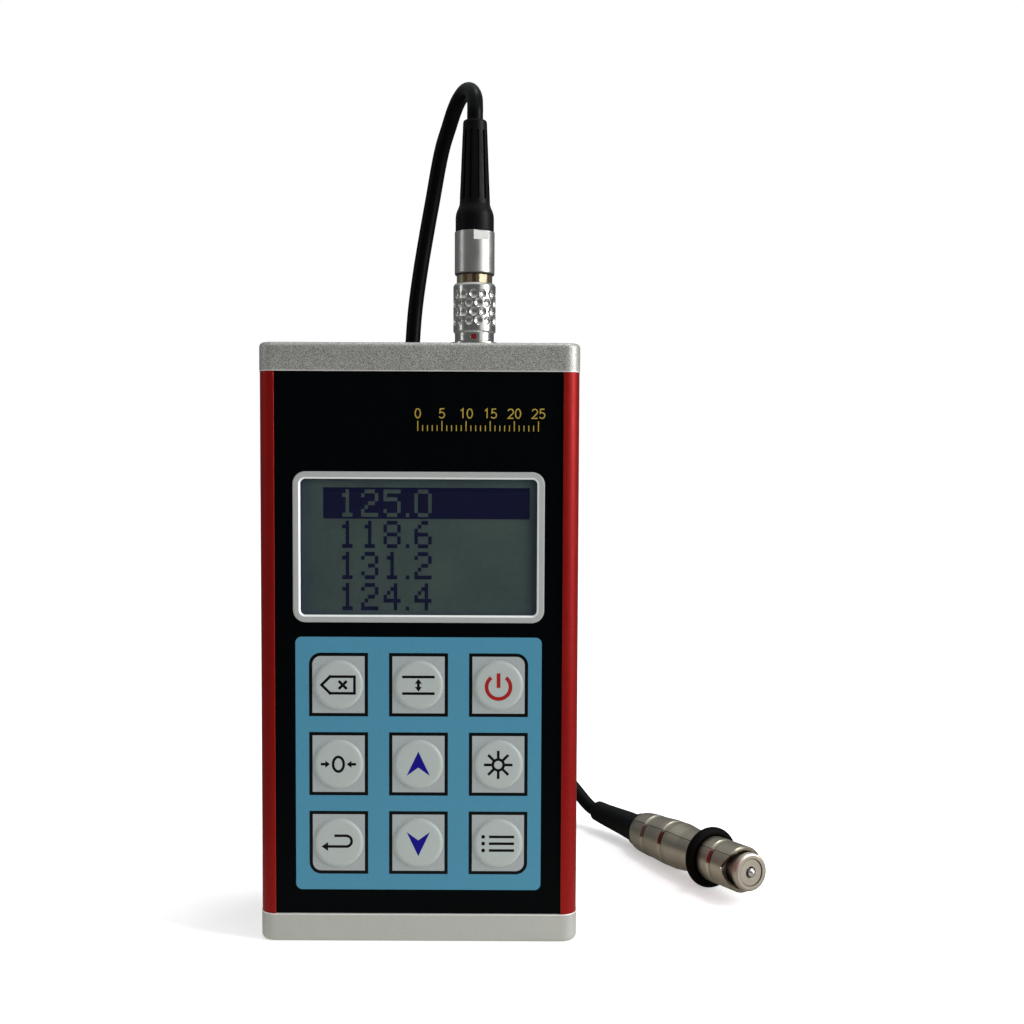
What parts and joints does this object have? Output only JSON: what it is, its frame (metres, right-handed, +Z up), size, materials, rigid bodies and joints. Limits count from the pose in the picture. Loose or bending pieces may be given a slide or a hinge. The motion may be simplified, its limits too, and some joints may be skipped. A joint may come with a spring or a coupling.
{
  "type": "coating thickness gauge",
  "caption": "Hand-held coating thickness gauge: upright extruded housing with display and keypad, and a sprung V-notched probe on a cable with a push-pull plug.",
  "frame": {"origin": "centre of the base face of the bottom cap", "axes": "+Z up along the housing, -Y out of the keypad face, +X to the right of someone facing the keypad"},
  "size_m": [0.1114, 0.0916, 0.1855],
  "materials": {
    "red_anodised": "satin red anodised extrusion",
    "blasted_aluminium": "bead-blasted, clear anodised",
    "steel": "plain steel",
    "overlay_film": "black printed film with a blue key field",
    "bezel": "pale grey moulding",
    "clear": "clear window",
    "key_film": "embossed pale film with printed signs",
    "black_plastic": "moulded",
    "white_plastic": "moulded",
    "board": "solder-masked laminate",
    "display": "grey-green liquid crystal",
    "cell": "plain jacket",
    "chrome": "satin chrome plate",
    "gold": "gold plate",
    "red_enamel": "enamel",
    "black_rubber": "smooth elastomer",
    "nickel": "turned and nickel plated",
    "copper": "enamelled wire",
    "polished_ball": "polished"
  },
  "bodies": {
    "gauge": {"body_extrusion": "red_anodised", "top_cap": "blasted_aluminium", "bottom_cap": "blasted_aluminium", "top_cap_screws": "steel", "bottom_cap_screws": "steel", "front_overlay": "overlay_film", "display_bezel": "bezel", "display_window": "clear", "key_switches": "black_plastic", "main_board": "board", "board_chips": "black_plastic", "buzzer": "black_plastic", "lcd_glass": "display", "lcd_backlight": "white_plastic", "battery_holder": "black_plastic", "battery_cells": "cell", "battery_contacts": "steel", "probe_socket": "chrome", "socket_nut": "chrome", "socket_insert": "white_plastic", "socket_pins": "gold", "probe_cable": "black_rubber", "probe_boot": "black_rubber", "probe_body": "nickel", "probe_o_ring": "black_rubber", "probe_sleeve": "nickel", "probe_spring": "steel"},
    "key_delete": {"key_delete": "key_film"},
    "key_limit": {"key_limit": "key_film"},
    "key_power": {"key_power": "key_film"},
    "key_zero": {"key_zero": "key_film"},
    "key_up": {"key_up": "key_film"},
    "key_light": {"key_light": "key_film"},
    "key_exit": {"key_exit": "key_film"},
    "key_down": {"key_down": "key_film"},
    "key_menu": {"key_menu": "key_film"},
    "plug": {"plug_shell": "gold", "plug_nut": "chrome", "plug_boot": "black_rubber", "plug_insert": "white_plastic", "plug_pins": "gold"},
    "grip_sleeve": {"plug_sleeve": "chrome", "plug_dot": "red_enamel"},
    "probe_tip": {"probe_head": "nickel", "probe_stem": "steel", "probe_core": "steel", "probe_coil": "copper", "probe_ball": "polished_ball"}
  },
  "joints": [
    {"name": "key_delete_press", "type": "slide", "parent": "gauge", "child": "key_delete", "axis": [0, 1, 0], "range_m": [0, 0.00035], "stiffness_N_per_m": 600},
    {"name": "key_limit_press", "type": "slide", "parent": "gauge", "child": "key_limit", "axis": [0, 1, 0], "range_m": [0, 0.00035], "stiffness_N_per_m": 600},
    {"name": "key_power_press", "type": "slide", "parent": "gauge", "child": "key_power", "axis": [0, 1, 0], "range_m": [0, 0.00035], "stiffness_N_per_m": 600},
    {"name": "key_zero_press", "type": "slide", "parent": "gauge", "child": "key_zero", "axis": [0, 1, 0], "range_m": [0, 0.00035], "stiffness_N_per_m": 600},
    {"name": "key_up_press", "type": "slide", "parent": "gauge", "child": "key_up", "axis": [0, 1, 0], "range_m": [0, 0.00035], "stiffness_N_per_m": 600},
    {"name": "key_light_press", "type": "slide", "parent": "gauge", "child": "key_light", "axis": [0, 1, 0], "range_m": [0, 0.00035], "stiffness_N_per_m": 600},
    {"name": "key_exit_press", "type": "slide", "parent": "gauge", "child": "key_exit", "axis": [0, 1, 0], "range_m": [0, 0.00035], "stiffness_N_per_m": 600},
    {"name": "key_down_press", "type": "slide", "parent": "gauge", "child": "key_down", "axis": [0, 1, 0], "range_m": [0, 0.00035], "stiffness_N_per_m": 600},
    {"name": "key_menu_press", "type": "slide", "parent": "gauge", "child": "key_menu", "axis": [0, 1, 0], "range_m": [0, 0.00035], "stiffness_N_per_m": 600},
    {"name": "plug_pull", "type": "slide", "parent": "gauge", "child": "plug", "axis": [0, 0, 1], "range_m": [0, 0.012], "deforming": ["probe_cable"]},
    {"name": "grip_slide", "type": "slide", "parent": "plug", "child": "grip_sleeve", "axis": [0, 0, 1], "range_m": [0, 0.0015], "stiffness_N_per_m": 600},
    {"name": "probe_press", "type": "slide", "parent": "gauge", "child": "probe_tip", "axis": [-0.445, 0.8926, -0.0724], "range_m": [0, 0.0015], "stiffness_N_per_m": 500, "deforming": ["probe_spring"]}
  ]
}
